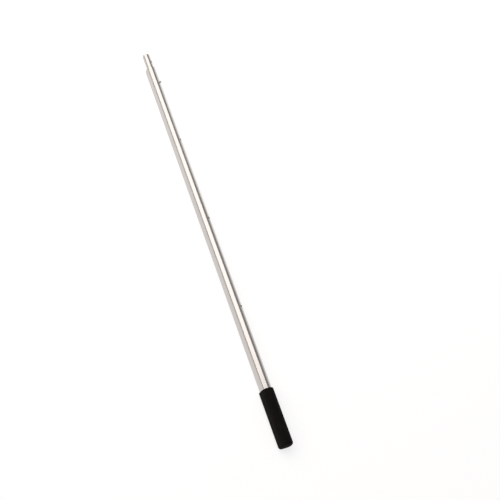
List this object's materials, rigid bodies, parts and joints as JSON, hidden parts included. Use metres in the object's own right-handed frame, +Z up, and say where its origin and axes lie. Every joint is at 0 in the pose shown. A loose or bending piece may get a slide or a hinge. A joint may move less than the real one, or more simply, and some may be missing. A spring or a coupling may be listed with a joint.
{
  "type": "telescoping pole handle",
  "caption": "Telescoping handle for deck tools: keyed teardrop aluminium tube with a foam grip, a round inner tube that slides out of it, and snap buttons that lock its length.",
  "frame": {"origin": "middle of the bottom of the closed-up pole's box, on the floor that it lies on", "axes": "+Y along the bore from the grip's end to the open tip, +Z up; the pole lies on one flank, so the keyway points to -X and 35 degrees down, and the snap buttons to +X and 35 degrees up"},
  "size_m": [0.0394, 1.4, 0.0358],
  "materials": {
    "outer_tube_aluminium": "satin clear anodised, chamfered ends left bright",
    "inner_tube_aluminium": "satin clear anodised, chamfered rims left bright",
    "grip_foam": "matte black closed-cell foam with a fine skin",
    "black_nylon": "moulded nylon",
    "black_rubber": "moulded rubber",
    "closed_cell_foam": "cut closed-cell foam",
    "rivet_aluminium": "flush set rivet",
    "button_steel": "polished stainless steel",
    "stainless_steel": "rolled stainless strip and screws"
  },
  "bodies": {
    "grip_tube": {"outer_tube": "outer_tube_aluminium", "hand_grip": "grip_foam", "base_plug": "black_nylon", "end_bumper": "black_rubber", "base_rivet_top": "rivet_aluminium", "base_rivet_bottom": "rivet_aluminium"},
    "sliding_tube": {"inner_tube": "inner_tube_aluminium", "tail_plug": "black_nylon", "guide_key": "black_nylon", "key_screw_front": "stainless_steel", "key_screw_rear": "stainless_steel", "seal_plug": "closed_cell_foam", "upper_spring": "stainless_steel", "lower_spring": "stainless_steel"},
    "upper_lock": {"upper_button": "button_steel"},
    "lower_lock": {"lower_button": "button_steel"}
  },
  "joints": [
    {"name": "tube_slide", "type": "slide", "parent": "grip_tube", "child": "sliding_tube", "axis": [0, 1, 0], "range_m": [0, 0.858]},
    {"name": "upper_button_press", "type": "slide", "parent": "sliding_tube", "child": "upper_lock", "axis": [0.8176, 0, 0.5758], "range_m": [-0.0073, 0], "stiffness_N_per_m": 1200, "springref_m": 0.003, "deforming": ["upper_spring"]},
    {"name": "lower_button_press", "type": "slide", "parent": "sliding_tube", "child": "lower_lock", "axis": [0.8176, 0, 0.5758], "range_m": [0, 0.0046], "stiffness_N_per_m": 1200, "springref_m": 0.0076, "deforming": ["lower_spring"]}
  ]
}
